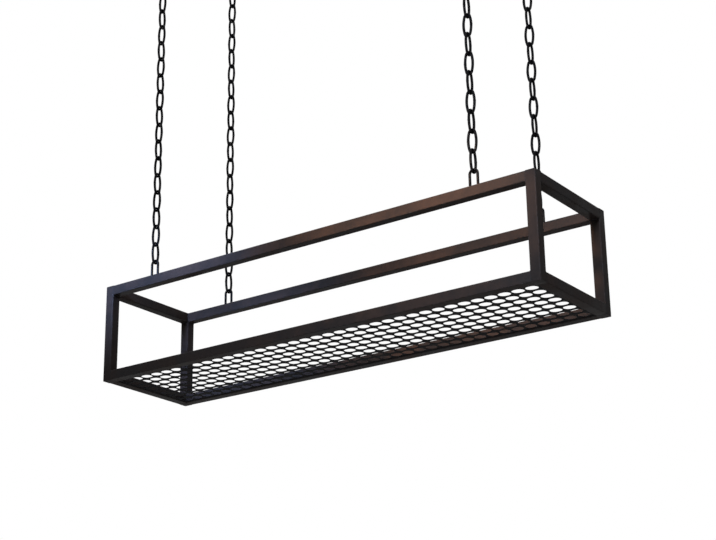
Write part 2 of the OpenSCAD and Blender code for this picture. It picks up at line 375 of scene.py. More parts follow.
def resampled(loop, values, count):
    """A closed outline and the values on it at count places evenly spaced along it."""
    closed = np.concatenate([loop, loop[:1]])
    carried = np.concatenate([values, values[:1]])
    steps = np.linalg.norm(np.diff(closed, axis=0), axis=1)
    travel = np.concatenate([[0], np.cumsum(steps)])
    wanted = np.arange(count) / count * travel[-1]
    places = np.stack([np.interp(wanted, travel, c) for c in closed.T], 1)
    kept = np.stack([np.interp(wanted, travel, c) for c in carried.T], 1)
    return places, kept, wanted


def weld_ring(middle, axis, inward, tubes, phase):
    """The bead round the end of a rail: an oval section carried round the rail's outline.

    The bead is sunk so that only its crown stands proud. The crown is tall and rippled on
    the faces that look inward. On the outer faces, which are ground flush, the bead ends
    dressed_sink under the face. How squarely a face looks inward, from 0 to 1, decides
    between the two: the crown starts at laid_from and is full a quarter further on.

    Known fault: across x up runs against the path here, so the bead's faces look inward."""
    laid_from, laid_rate, wave, count = 0.72, 4, 0.16, 200
    along = np.eye(3)[axis]
    first = np.eye(3)[(axis + 1) % 3]
    second = np.cross(along, first)
    outline, outward, _ = rounded_square(TUBE_WIDTH, tubes.corner)
    outline, outward, travel = resampled(outline, outward, count)
    outward /= np.linalg.norm(outward, axis=1)[:, None]
    across = outward[:, :1] * first + outward[:, 1:] * second
    faces_in = np.max(across @ np.array(inward, float).T, axis=1)
    laid = smooth_step((faces_in - laid_from) * laid_rate)
    ripple = 1 + wave * np.cos(2 * np.pi * travel / tubes.ripple + phase)
    crown = (tubes.fillet_crown * ripple + tubes.dressed_sink) * laid - tubes.dressed_sink
    path = middle + outline[:, :1] * first + outline[:, 1:] * second
    path -= (tubes.weld_half_height - crown)[:, None] * across
    oval = circle(12) * [tubes.weld_half_height, tubes.weld_half_width]
    return sweep(path, across, along, oval, close=True)


def frame_piece(node, surfaces):
    """A painted piece of the frame, which stands for one node."""
    piece_of(f"painted_{node}", surfaces, "frame_coat", "rack", [node])


def rail_names():
    """Every rail, with the side of the rack it is on and its level, top or bottom."""
    return [(f"{level}_rail_{side}", side, level) for level in ("top", "bottom") for side in SIDES]


class RACK_OT_posts(bpy.types.Operator):
    """Make the four corner posts of the frame"""

    bl_idname = "rack.posts"
    bl_label = "Corner Posts"

    def execute(self, context):
        tubes = context.scene.rack_tubes
        for corner in CORNERS:
            node = f"post_{corner}"
            frame_piece(node, [bar(*node_box(node), 2, tubes)])
        return {"FINISHED"}


class RACK_OT_caps(bpy.types.Operator):
    """Make the plates that close the posts"""

    bl_idname = "rack.caps"
    bl_label = "Post Caps"

    def execute(self, context):
        tubes = context.scene.rack_tubes
        for node in ("post_top_caps", "post_bottom_caps"):
            low, high = node_box(node)
            plates = []
            for corner in CORNERS:
                post_low, post_high = node_box(f"post_{corner}")
                plate_low = np.append(post_low[:2], low[2])
                plate_high = np.append(post_high[:2], high[2])
                plates.append(bar(plate_low, plate_high, 2, tubes))
            frame_piece(node, plates)
        return {"FINISHED"}


class RACK_OT_rails(bpy.types.Operator):
    """Make the eight rails between the posts"""

    bl_idname = "rack.rails"
    bl_label = "Rails"

    def execute(self, context):
        tubes = context.scene.rack_tubes
        for node, side, _ in rail_names():
            axis = 0 if SIDES[side][0] == 0 else 1
            frame_piece(node, [bar(*node_box(node), axis, tubes)])
        return {"FINISHED"}


class RACK_OT_frame_welds(bpy.types.Operator):
    """Lay the weld beads where the rails meet the posts"""

    bl_idname = "rack.frame_welds"
    bl_label = "Frame Welds"

    def execute(self, context):
        tubes = context.scene.rack_tubes
        past_seam = tubes.weld_half_width * 0.3
        beads = []
        for index, (node, side, level) in enumerate(rail_names()):
            low, high = node_box(node)
            axis = 0 if SIDES[side][0] == 0 else 1
            to_middle = [-SIDES[side][0], -SIDES[side][1], 0]
            to_window = [0, 0, -1 if level == "top" else 1]
            for end in (-1, 1):
                middle = (low + high) / 2
                middle[axis] = (high if end > 0 else low)[axis] + end * past_seam
                inward = [to_middle, to_window]
                beads.append(weld_ring(middle, axis, inward, tubes, index + end))
        piece_of("frame_welds", beads, "weld_coat", "rack")
        return {"FINISHED"}


# ---------------------------------------------------------------- punched shelf


def slot_outline(length_x, width_y, turn):
    """Points of a slot with round ends, where rays at the given angles leave its middle.

    A ray that leaves through a straight side stops at half the width. Any other stops on
    the end's circle, whose middle is off centre by half of length less width."""
    radius = width_y / 2
    off = (length_x - width_y) / 2
    cosine, sine = np.cos(turn), np.sin(turn)
    side = abs(cosine) * off
    reach = side + np.sqrt(np.maximum(side**2 - off**2 + radius**2, 0))
    straight = radius / np.maximum(abs(sine), NEVER_ZERO)
    reach = np.where(straight * abs(cosine) < off, straight, reach)
    return np.stack([reach * cosine, reach * sine], 1)


def cell_outline(half_x, half_y, turn):
    """Points of a rectangle where rays at the given angles leave its middle."""
    cosine, sine = np.cos(turn), np.sin(turn)
    to_side = half_x / np.maximum(abs(cosine), NEVER_ZERO)
    reach = np.minimum(to_side, half_y / np.maximum(abs(sine), NEVER_ZERO))
    return np.stack([reach * cosine, reach * sine], 1)


def cell_rays(half_x, half_y):
    """Angles that part each of a rectangle's four sides in nine and hit its corners."""
    parts = 9
    across = np.linspace(-half_y, half_y, parts, endpoint=False)
    along = np.linspace(half_x, -half_x, parts, endpoint=False)
    right = np.arctan2(across, half_x)
    top = np.arctan2(half_y, along)
    return np.concatenate([right, top, right + np.pi, top + np.pi])


def punched_sheet(low, high, shelf):
    """The sheet as cells, each a ring of faces between a slot and the cell's rectangle.

    Eight loops go round each cell: out on the upper face, in to the slot, over the
    punch's rounding, down the wall, and out again below. The outermost cells reach on
    to the sheet's edge, where a wall closes the sheet."""
    size = high - low
    half_x, half_y = shelf.pitch_x / 2, shelf.pitch_y / 2
    columns = int((size[0] - 2 * shelf.margin - shelf.hole_length) / shelf.pitch_x) + 1
    rows = int((size[1] - 2 * shelf.margin - shelf.hole_width) / shelf.pitch_y) + 1
    turn = cell_rays(half_x, half_y)
    rim = slot_outline(shelf.hole_length, shelf.hole_width, turn)
    outer = cell_outline(half_x, half_y, turn)
    grow = shelf.punch_round
    wide = slot_outline(shelf.hole_length + 2 * grow, shelf.hole_width + 2 * grow, turn)
    ease = 1 - math.sin(math.pi / 4)
    mid = rim + (wide - rim) * ease
    loops = np.stack([outer, wide, mid, rim, rim, mid, wide, outer])
    top, bottom = high[2], low[2]
    drops = np.array([0, 0, ease * grow, grow])
    levels = np.concatenate([top - drops, bottom + drops[::-1]])
    centre = (low + high) / 2
    grid_x = (np.arange(columns) - (columns - 1) / 2) * shelf.pitch_x
    grid_y = (np.arange(rows) - (rows - 1) / 2) * shelf.pitch_y
    places = np.stack(np.meshgrid(grid_x, grid_y, indexing="ij"), -1).reshape(-1, 1, 1, 2)
    flat = places + loops
    reach = np.array([columns * half_x, rows * half_y])
    tolerance = half_y * 1e-4
    on_edge = abs(flat) > reach - tolerance
    flat = np.where(on_edge, np.sign(flat) * size[:2] / 2, flat) + centre[:2]
    cells, rings, sides = flat.shape[:3]
    height = np.broadcast_to(levels[None, :, None, None], flat.shape[:3] + (1,))
    points = np.concatenate([flat, height], -1).reshape(-1, 3)
    patch = lattice_quads(rings, sides, False)
    starts = np.arange(cells)[:, None, None] * rings * sides
    quads = (patch[:, ::-1] + starts).reshape(-1, 4)
    wall = edge_wall(on_edge[:, 0], cells, rings, sides)
    lip = np.array([0, 0.5, 1, 0.6, 0.6, 1, 0.5, 0])
    edge = np.broadcast_to(lip[None, :, None], (cells, rings, sides)).ravel()
    none = np.zeros((0, 3), int)
    return Surface(points, np.concatenate([quads, wall]), none, edge, np.zeros(len(points)))


def edge_wall(on_edge, cells, rings, sides):
    """Faces that close the sheet's edge: they join the top and bottom outer loops of
    each cell wherever two neighbouring points both lie on the same side of the sheet."""
    following = np.roll(on_edge, -1, axis=1)
    shared = (on_edge & following).any(axis=-1)
    first = np.arange(sides)[None] + np.arange(cells)[:, None] * rings * sides
    nearby = np.roll(np.arange(sides), -1)[None] + np.arange(cells)[:, None] * rings * sides
    drop = (rings - 1) * sides
    walls = np.stack([first, nearby, nearby + drop, first + drop], -1)
    return walls[shared][:, ::-1]


class RACK_OT_shelf(bpy.types.Operator):
    """Make the punched shelf sheet"""

    bl_idname = "rack.shelf"
    bl_label = "Punched Shelf"

    def execute(self, context):
        surface = punched_sheet(*node_box("shelf_sheet"), context.scene.rack_shelf)
        mesh = mesh_of("punched_shelf", [surface])
        weld_points(mesh)
        place(mesh, "sheet_coat", "rack", ["shelf_sheet"])
        return {"FINISHED"}


def weld_points(mesh):
    """Joins the points that lie on each other and makes all faces look outward."""
    work = bmesh.new()
    work.from_mesh(mesh)
    bmesh.ops.remove_doubles(work, verts=work.verts, dist=POINT)
    bmesh.ops.recalc_face_normals(work, faces=work.faces)
    work.to_mesh(mesh)
    work.free()


def tack(middle, along, out, shelf):
    """One tack weld: a round bead that thins to nothing at its ends, with five ripples.

    Known fault: the faces at the bead's two ends have no area."""
    ripples, wave = 5, 0.07
    reach = np.linspace(-1, 1, 41)
    taper = np.sqrt(np.maximum(1 - reach**4, 0))
    ripple = 1 + wave * np.cos(reach * ripples * np.pi)
    path = middle + reach[:, None] * shelf.tack_length / 2 * along
    section = circles(shelf.tack_radius * taper * ripple, 14)
    return sweep(path, out, np.cross(along, out), section)


class RACK_OT_tack_welds(bpy.types.Operator):
    """Lay the tack welds that hold the shelf in the bottom rails"""

    bl_idname = "rack.tack_welds"
    bl_label = "Tack Welds"

    def execute(self, context):
        shelf = context.scene.rack_shelf
        low, high = node_box("shelf_sheet")
        centre, size = (low + high) / 2, high - low
        below, beside = shelf.tack_radius * 0.2, shelf.tack_radius * 0.1
        beads = []
        for along, out, reach, off in ((X, Y, size[0], size[1]), (Y, X, size[1], size[0])):
            count = max(2, int(reach / shelf.tack_pitch))
            steps = (np.arange(count) + 0.5) * reach / count - reach / 2
            for side in (-1, 1):
                seam = centre + side * out * (off / 2 - beside)
                for step in steps:
                    middle = seam + step * along
                    middle[2] = low[2] - below
                    beads.append(tack(middle, along, out, shelf))
        piece_of("tack_welds", beads, "weld_coat", "rack", ["sheet_tack_welds"])
        return {"FINISHED"}


# ---------------------------------------------------------------- chain and eyes


def oval(half_width, half_height, count):
    """Places evenly spaced round an oval of four arcs, and their outward normals.

    The centres of an end arc and of a side arc lie 7 and 24 steps from the oval's middle,
    so they are 25 steps apart and the arcs meet on the lines through them. The places
    start at the top middle and go towards +x."""
    step = (half_height - half_width) / 6
    end, side = half_width - step, half_width + 24 * step
    lean = math.atan2(7, 24)
    quarter = np.pi / 2
    turns = np.array([0, quarter - lean, quarter + lean])
    turns = np.concatenate([turns, turns[1:] + np.pi, [2 * np.pi]])
    radii = np.array([end, side, end, side, end])
    marks = np.concatenate([[0], np.cumsum(np.diff(turns) * radii)])
    travel = np.arange(count) / count * marks[-1]
    turned = np.interp(travel, marks, turns)
    arc = np.searchsorted(turns, turned, side="right") - 1
    centres = step * np.array([[0, 7], [-24, 0], [0, -7], [24, 0], [0, 7]])
    outward = np.stack([np.sin(turned), np.cos(turned)], 1)
    return centres[arc] + radii[arc][:, None] * outward, outward


def rubbed(distance, sides, chain):
    """How rubbed a wire's points are: exp(-(d / rub_width)^2) at a distance d from its
    seat, on the side that looks into the bend."""
    inner = smooth_step(-circle(sides)[:, 0])
    return np.exp(-((distance / chain.rub_width) ** 2))[:, None] * inner


def link(middle, height, across, chain, seam_side):
    """A welded link: its round wire carried round an oval in the plane of across and Z.

    The wire swells by seam_swell exp(-(d / seam_width)^2) at the welded seam, d being the
    distance from the middle of one side. The seats inside the ends are rubbed."""
    half_width, half_height = (LINK_WIDTH - LINK_WIRE) / 2, (height - LINK_WIRE) / 2
    places, outward = oval(half_width, half_height, chain.rings)
    level = np.where(places[:, 0] * seam_side > 0, places[:, 1], half_height)
    swell = 1 + chain.seam_swell * np.exp(-((level / chain.seam_width) ** 2))
    section = circles(LINK_WIRE / 2 * swell, chain.sides)
    path = middle + places[:, :1] * across + places[:, 1:] * Z
    normal = outward[:, :1] * across + outward[:, 1:] * Z
    rub = rubbed(places[:, 0], chain.sides, chain)
    return sweep(path, normal, np.cross(across, Z), section, close=True, rub=rub)


def chain_part(node, first, last, chain):
    """Links first to last of the chain that a node belongs to, counted from the top.

    Odd links lie along X and even ones along Y. A sine of the link's number turns each a
    little, and another sine picks the side of its seam. Both steps are far from a whole
    turn, so that no two neighbours are alike, and the chain's place sets where they start."""
    turn_step, seam_step = 2.4, 1.7
    low, high = node_box(node)
    centre = (low + high) / 2
    height = float(LINK_HIGH[2] - LINK_LOW[2])
    links = []
    for index in range(first, last + 1):
        middle = np.append(centre[:2], high[2] - height / 2 - (index - first) * chain.rise)
        turn = chain.turn * math.sin(index * turn_step + centre[0] * 9 + centre[1] * 31)
        turn += 0 if index % 2 else math.pi / 2
        across = np.array([math.cos(turn), math.sin(turn), 0])
        side = 1 if math.sin(index * seam_step + centre[1] * 20) > 0 else -1
        links.append(link(middle, height, across, chain, side))
    return links


def link_total(chain):
    """Number of links in a chain, from the heights of its top and bottom links."""
    top = node_box("top_link_front_left")[1][2]
    bottom = node_box("bottom_link_front_left")[1][2]
    return round((top - bottom) / chain.rise) + 1


class RACK_OT_chains(bpy.types.Operator):
    """Make the four chains, each as a top link, a run of links and a bottom link"""

    bl_idname = "rack.chains"
    bl_label = "Chains"

    def execute(self, context):
        chain = context.scene.rack_chain
        total = link_total(chain)
        stretches = [
            ("top_link", 1, 1),
            ("chain_run", 2, total - 1),
            ("bottom_link", total, total),
        ]
        for corner in CORNERS:
            for kind, first, last in stretches:
                node = f"{kind}_{corner}"
                links = chain_part(node, first, last, chain)
                piece_of(f"welded_{node}", links, "chain_coat", node, [node])
        return {"FINISHED"}


def eye_wire(middle_x, middle_y, chain):
    """The eye's wire: up one leg, over a half circle and down the other leg."""
    sides, leg_steps = 20, 9
    bend = (LINK_WIDTH - EYE_WIRE) / 2
    top = EYE_HIGH[2] - EYE_WIRE / 2 - bend
    rise = top - RAIL_TOP
    leg = np.linspace(0, rise, leg_steps + 1)[:-1]
    turn = np.linspace(np.pi, 0, 33)
    upright, level = np.ones(leg_steps), np.zeros(leg_steps)
    normal_x = np.concatenate([-upright, np.cos(turn), upright])
    normal_z = np.concatenate([level, np.sin(turn), level])
    x = bend * normal_x
    z = np.concatenate([leg, rise + bend * np.sin(turn), leg[::-1]]) + RAIL_TOP
    path = np.stack([x + middle_x, np.full_like(x, middle_y), z], 1)
    normal = np.stack([normal_x, np.zeros_like(x), normal_z], 1)
    section = EYE_WIRE / 2 * circle(sides)
    rub = rubbed(x, sides, chain) * (z > top)[:, None]
    return sweep(path, normal, np.cross(X, Z), section, rub=rub)


def foot_weld(foot, height, spread):
    """The fillet round the eye's foot: its radius shrinks with the square of the height
    left, and waves a little round the wire where one ripple lies on the next."""
    rows, sides, ripples, wave = 9, 36, 11, 0.09
    up = np.linspace(0, 1, rows)
    turn = np.arange(sides) / sides * 2 * np.pi
    ripple = 1 + wave * np.sin(turn * ripples) * (1 - up[:, None])
    radius = EYE_WIRE / 2 + spread * (1 - up[:, None]) ** 2 * ripple
    section = radius[..., None] * circle(sides)
    path = foot + up[:, None] * height * Z
    return sweep(path, X, Y, section)


class RACK_OT_hanging_eyes(bpy.types.Operator):
    """Make the wire eyes that stand on the top rails"""

    bl_idname = "rack.hanging_eyes"
    bl_label = "Hanging Eyes"

    def execute(self, context):
        chain = context.scene.rack_chain
        bend = (LINK_WIDTH - EYE_WIRE) / 2
        weld_height = EYE_WELD * 1.15
        for corner in CORNERS:
            node = f"hanging_eye_{corner}"
            x, y, _ = node_middle(node)
            feet = [np.array([x + side * bend, y, RAIL_TOP]) for side in (-1, 1)]
            parts = [eye_wire(x, y, chain)]
            parts += [foot_weld(foot, weld_height, EYE_WELD) for foot in feet]
            piece_of(f"bent_{node}", parts, "chain_coat", "rack", [node])
        return {"FINISHED"}


# ---------------------------------------------------------------- ceiling fittings


def hook_bend(centre, outward, fittings, chain):
    """The hook's bend: an arc from the top of its circle, back and under, up to the tip.

    The wire ends in a ball: within its radius R of the tip the wire's radius is at least
    the root of R^2 - d^2, d being the distance from the tip. Past the tip the path runs
    straight on, to nearly the ball's end."""
    bend, wire, ball = fittings.hook_radius, fittings.hook_wire / 2, fittings.tip_ball / 2
    nearly, lowest = 0.999, 1.5 * np.pi
    final = 2 * np.pi + fittings.tip_angle
    reach = (final - np.pi / 2) * bend
    over_ball = np.sin(np.linspace(-np.pi / 2, np.pi / 2, 17))[1:-1]
    bare = np.linspace(0, reach - ball, 64)
    travel = np.concatenate([bare, reach + ball * over_ball, [reach + ball * nearly]])
    turn = np.minimum(np.pi / 2 + travel / bend, final)
    from_tip = travel - reach
    past = np.maximum(from_tip, 0)
    radial = np.cos(turn)[:, None] * outward + np.sin(turn)[:, None] * Z
    forward = -np.sin(turn)[:, None] * outward + np.cos(turn)[:, None] * Z
    path = centre + bend * radial + past[:, None] * forward
    swell = np.sqrt(np.maximum(ball**2 - from_tip**2, 0))
    radius = np.where(from_tip < 0, np.maximum(wire, swell), swell)
    sides = 20
    section = circles(radius, sides)
    rub = rubbed((turn - lowest) * bend, sides, chain)
    return sweep(path, radial, np.cross(forward[0], radial[0]), section, rub=rub)


def hook_shank(top, foot, fittings):
    """The straight shank and the ball at its foot, round about Z, with a soft neck.

    Above the ball the radius is the wire's plus a skirt that dies away upwards."""
    skirt_width, skirt_height = 0.5 * MM, 0.8 * MM
    wire, ball = fittings.hook_wire / 2, fittings.hook_ball / 2
    neck = math.sqrt(ball**2 - wire**2)
    turn = np.linspace(-np.pi / 2, math.asin(neck / ball), 20)
    shank = np.linspace(foot[2] + neck, top, 14)[1:]
    skirt = skirt_width * np.exp(-(shank - foot[2] - neck) / skirt_height)
    radii = np.concatenate([ball * np.cos(turn), wire + skirt])
    radii[0] = POINT
    heights = np.concatenate([foot[2] + ball * np.sin(turn), shank])
    return lathe(foot * [1, 1, 0], radii, heights, 28)


class RACK_OT_ceiling_hooks(bpy.types.Operator):
    """Make the open hooks that carry the chains"""

    bl_idname = "rack.ceiling_hooks"
    bl_label = "Ceiling Hooks"

    def execute(self, context):
        fittings, chain = context.scene.rack_fittings, context.scene.rack_chain
        for corner in CORNERS:
            node = f"ceiling_hook_{corner}"
            low, high = node_box(node)
            x, y, _ = node_middle(f"ceiling_plate_{corner}")
            level = low[2] + fittings.hook_wire / 2 + fittings.hook_radius
            centre = np.array([x, y, level])
            foot = centre + fittings.hook_radius * Z
            outward = np.sign(y) * Y
            bend = hook_bend(centre, outward, fittings, chain)
            shank = hook_shank(high[2], foot, fittings)
            mesh = mesh_of(f"forged_{node}", [bend, shank])
            place(mesh, "fitting_coat", "ceiling_fittings", [node])
        return {"FINISHED"}


def plate_disc(x, y, fittings):
    """The plate and its boss as one round shape: flat top with a bevel, rounded rim, flat
    underside, a fillet into the boss, and the boss's taper down to the hook."""
    outer = (PLATE_HIGH[0] - PLATE_LOW[0]) / 2
    edge, thick = fittings.plate_edge, fittings.plate_thickness
    boss, tip, tall = fittings.boss / 2, fittings.boss_tip / 2, fittings.boss_height
    bevel, fillet, ease = 0.2 * MM, 1.0 * MM, 0.4 * MM
    rim = np.linspace(0, np.pi / 2, 9)
    root = np.linspace(0, np.pi / 2, 7)
    radii = np.concatenate(
        [
            [POINT, outer * 0.5, outer - bevel, outer],
            outer - edge + edge * np.cos(rim),
            [outer * 0.6, boss + 2 * fillet],
            boss + fillet - fillet * np.sin(root),
            [tip + ease * 0.5, tip, tip - ease, POINT],
        ]
    )
    heights = -np.concatenate(
        [
            [0, 0, 0, bevel],
            thick - edge + edge * np.sin(rim),
            [thick, thick],
            thick + fillet * (1 - np.cos(root)),
            [thick + tall - 2 * ease, thick + tall - ease, thick + tall, thick + tall],
        ]
    )
    base = np.array([x, y, 0.0])
    return lathe(base, radii, heights, 96)


def screw_cutter(x, y, fittings):
    """The space of a countersunk screw: a straight hole that opens out to the underside."""
    hole, sink = fittings.screw_hole / 2, fittings.countersink / 2
    thick = fittings.plate_thickness
    past = 1.0 * MM
    radii = [hole, hole, sink, sink + past]
    heights = [past, -(thick - (sink - hole)), -thick, -thick - past]
    return lathe(np.array([x, y, 0.0]), radii, heights, 48)


def carved(mesh, cutter):
    """A mesh with another cut out of it."""
    whole = new_object("whole", mesh)
    tool = new_object("tool", cutter)
    cut = whole.modifiers.new("cut", "BOOLEAN")
    cut.operation = "DIFFERENCE"
    cut.solver = "EXACT"
    cut.object = tool
    graph = bpy.context.evaluated_depsgraph_get()
    result = bpy.data.meshes.new_from_object(whole.evaluated_get(graph))
    for thing in (whole, tool):
        bpy.data.objects.remove(thing)
    return result


class RACK_OT_ceiling_plates(bpy.types.Operator):
    """Make the round ceiling plates with their countersunk screw holes"""

    bl_idname = "rack.ceiling_plates"
    bl_label = "Ceiling Plates"

    def execute(self, context):
        fittings = context.scene.rack_fittings
        for corner in CORNERS:
            node = f"ceiling_plate_{corner}"
            x, y, _ = node_middle(node)
            disc = mesh_of("disc", [plate_disc(x, y, fittings)])
            weld_points(disc)
            off = fittings.screw_spacing / 2
            holes = [screw_cutter(x + side * off, y, fittings) for side in (-1, 1)]
            cutter = mesh_of("cutter", holes)
            weld_points(cutter)
            mesh = carved(disc, cutter)
            mesh.name = f"turned_{node}"
            mesh.shade_smooth()
            mesh.set_sharp_from_angle(angle=math.radians(30))
            place(mesh, "fitting_coat", "ceiling_fittings", [node])
        return {"FINISHED"}


# ---------------------------------------------------------------- finishes


def feed(tree, sockets, inputs):
    """Sets the named sockets to values, or joins them to the sockets given for them."""
    for name, value in inputs.items():
        if isinstance(value, bpy.types.NodeSocket):
            tree.links.new(value, sockets[name])
        else:
            sockets[name].default_value = value


def add(tree, kind, inputs=None, **settings):
    """A node of that kind, with its settings and its inputs."""
    node = tree.nodes.new(kind)
    for name, value in settings.items():
        setattr(node, name, value)
    feed(tree, node.inputs, inputs or {})
    return node


def math_node(tree, operation, first, second=0.0, third=0.0, clamp=False):
    """The result of one Math node."""
    inputs = {0: first, 1: second, 2: third}
    return add(tree, "ShaderNodeMath", inputs, operation=operation, use_clamp=clamp).outputs[0]


def noise(tree, coordinates, scale, detail=2.0, roughness=0.5):
    """The value of a Noise Texture."""
    inputs = {"Vector": coordinates, "Scale": scale, "Detail": detail, "Roughness": roughness}
    return add(tree, "ShaderNodeTexNoise", inputs).outputs[0]


def remap(tree, value, low, high, to_low=0.0, to_high=1.0):
    """A value moved smoothly from one range to another and held inside it."""
    inputs = {0: value, 1: low, 2: high, 3: to_low, 4: to_high}
    return add(tree, "ShaderNodeMapRange", inputs, interpolation_type="SMOOTHSTEP").outputs[0]


def blend_color(tree, amount, first, second):
    """One colour mixed into another."""
    inputs = {0: amount, 6: first, 7: second}
    return add(tree, "ShaderNodeMix", inputs, data_type="RGBA").outputs[2]


def object_place(tree):
    """The place on a piece, in the piece's own axes."""
    return add(tree, "ShaderNodeTexCoord").outputs["Object"]


def new_group(name, inputs, outputs):
    """An empty node group with named number sockets, and its two ends."""
    group = bpy.data.node_groups.new(name, "ShaderNodeTree")
    for socket, default in inputs.items():
        made = group.interface.new_socket(socket, in_out="INPUT", socket_type="NodeSocketFloat")
        made.default_value = default
    for socket in outputs:
        group.interface.new_socket(socket, in_out="OUTPUT", socket_type="NodeSocketFloat")
    start = group.nodes.new("NodeGroupInput")
    finish = group.nodes.new("NodeGroupOutput")
    return group, start.outputs, finish.inputs


def orange_peel(name):
    """Sprayed paint: soft dimples of one size on broader waves, as a height."""
    inputs = {"Dimples per metre": 650.0, "Depth": 1.0}
    group, given, wanted = new_group(name, inputs, ["Height", "Mottle"])
    place_on = object_place(group)
    dimples = noise(group, place_on, given["Dimples per metre"], 1.0)
    waves = noise(group, place_on, 60.0, 1.0)
    height = math_node(group, "MULTIPLY_ADD", waves, 2.5, dimples)
    height = math_node(group, "MULTIPLY", height, given["Depth"])
    mottle = noise(group, place_on, 14.0, 4.0, 0.6)
    feed(group, wanted, {"Height": height, "Mottle": remap(group, mottle, 0.3, 0.7)})
    return group


def worn_edges(name):
    """Where the coat is gone: chips along marked edges and rubbed seats, as a mask."""
    inputs = {"Edge": 0.0, "Rub": 0.0, "Chips": 0.5, "Chips per metre": 180.0}
    group, given, wanted = new_group(name, inputs, ["Bare", "Thin"])
    place_on = object_place(group)
    coarse = noise(group, place_on, 22.0, 2.0)
    fine = noise(group, place_on, given["Chips per metre"], 5.0, 0.65)
    patchy = math_node(group, "MULTIPLY", remap(group, coarse, 0.45, 0.68), given["Edge"])
    level = math_node(group, "MULTIPLY", patchy, given["Chips"])
    edge_chips = math_node(group, "ADD", fine, math_node(group, "MULTIPLY", level, 0.45))
    chipped = remap(group, edge_chips, 0.80, 0.84)
    rubbed = math_node(group, "MULTIPLY_ADD", given["Rub"], 0.75, fine)
    rubbed = remap(group, rubbed, 0.85, 1.0)
    bare = math_node(group, "MAXIMUM", chipped, rubbed, clamp=True)
    thin = math_node(group, "MULTIPLY", given["Edge"], remap(group, fine, 0.35, 0.65))
    feed(group, wanted, {"Bare": bare, "Thin": thin})
    return group


def settled_dust(name):
    """Dust on what looks up: the normal's height, broken up by fine noise, as a mask."""
    group, given, wanted = new_group(name, {"Amount": 0.3}, ["Dust"])
    place_on = object_place(group)
    facing = add(group, "ShaderNodeNewGeometry").outputs["Normal"]
    upward = add(group, "ShaderNodeSeparateXYZ", {0: facing}).outputs["Z"]
    lying = remap(group, upward, 0.2, 0.95)
    specks = remap(group, noise(group, place_on, 420.0, 6.0, 0.7), 0.38, 0.72)
    drift = remap(group, noise(group, place_on, 30.0, 3.0), 0.3, 0.75, 0.35, 1.0)
    dust = math_node(group, "MULTIPLY", math_node(group, "MULTIPLY", lying, specks), drift)
    feed(group, wanted, {"Dust": math_node(group, "MULTIPLY", dust, given["Amount"])})
    return group


def use_group(tree, build, inputs):
    """One of the shared effects, placed in a material with its own values. Its node
    group has the name of the function that builds it, and is built only once."""
    name = build.__name__
    group = bpy.data.node_groups.get(name) or build(name)
    return add(tree, "ShaderNodeGroup", inputs, node_tree=group).outputs


def opaque(color, gain=1.0):
    """A colour with full alpha, made lighter or darker by a gain."""
    return tuple(min(1.0, c * gain) for c in color) + (1.0,)


Coat = namedtuple("Coat", "paint rough gloss dimples depth chips dust warm")

# Every coat: its colour in RackFinish, the roughness of the paint, the weight of its clear
# gloss, the orange peel's dimples per metre and their depth, the amounts of chips and of
# dust, and the tint of the lighter patches.
EVEN = (1.0, 1.0, 1.0)
BRONZE = (1.25, 1.0, 0.86)
COATS = {
    "frame_coat": Coat("frame_coat", 0.40, 0.10, 650.0, 0.012 * MM, 0.42, 0.20, BRONZE),
    "weld_coat": Coat("frame_coat", 0.48, 0.10, 1100.0, 0.030 * MM, 0.40, 0.25, EVEN),
    "sheet_coat": Coat("sheet_coat", 0.42, 0.06, 800.0, 0.010 * MM, 0.60, 0.45, EVEN),
    "chain_coat": Coat("chain_coat", 0.32, 0.12, 900.0, 0.010 * MM, 0.50, 0.10, EVEN),
    "fitting_coat": Coat("fitting_coat", 0.36, 0.16, 700.0, 0.012 * MM, 0.50, 0.15, EVEN),
}


def coated_steel(name):
    """Painted steel: a mottled coat with orange peel, thin and chipped at its edges,
    rubbed bright where metal bears on metal, with dust on what looks up."""
    material = bpy.data.materials.get(name)
    if material:
        return material
    coat, finish = COATS[name], bpy.context.scene.rack_finish
    color = getattr(finish, coat.paint)
    material = bpy.data.materials.new(name)
    material.use_nodes = True
    tree = material.node_tree
    edge = add(tree, "ShaderNodeAttribute", attribute_name="edge").outputs["Fac"]
    rub = add(tree, "ShaderNodeAttribute", attribute_name="rub").outputs["Fac"]
    film = use_group(tree, orange_peel, {"Dimples per metre": coat.dimples})
    wear = use_group(tree, worn_edges, {"Edge": edge, "Rub": rub, "Chips": coat.chips})
    lying = use_group(tree, settled_dust, {"Amount": coat.dust})["Dust"]

    light = [c * w for c, w in zip(color, coat.warm)]
    tone = blend_color(tree, film["Mottle"], opaque(color, 0.76), opaque(light, 1.3))
    thin = math_node(tree, "MULTIPLY", wear["Thin"], 0.35)
    tone = blend_color(tree, thin, tone, opaque(color, 2.6))
    tone = blend_color(tree, lying, tone, opaque(finish.dust))
    tone = blend_color(tree, wear["Bare"], tone, opaque(finish.steel))

    dull = remap(tree, film["Mottle"], 0.0, 1.0, coat.rough - 0.05, coat.rough + 0.06)
    dull = math_node(tree, "MULTIPLY_ADD", lying, 0.35, dull, clamp=True)
    shine = remap(tree, film["Mottle"], 0.0, 1.0, coat.gloss * 1.25, coat.gloss * 0.75)
    shine = math_node(tree, "MULTIPLY", shine, math_node(tree, "SUBTRACT", 1.0, lying))
    height = math_node(tree, "MULTIPLY_ADD", wear["Bare"], -1.2, film["Height"])
    bump = add(tree, "ShaderNodeBump", {"Height": height, "Distance": coat.depth, "Strength": 1.0})
    inputs = {
        "Specular IOR Level": 0.0,
        "Coat Roughness": coat.rough - 0.05,
        "Base Color": tone,
        "Metallic": wear["Bare"],
        "Roughness": dull,
        "Coat Weight": shine,
        "Normal": bump.outputs[0],
    }
    feed(tree, tree.nodes["Principled BSDF"].inputs, inputs)
    return material


# ---------------------------------------------------------------- stage


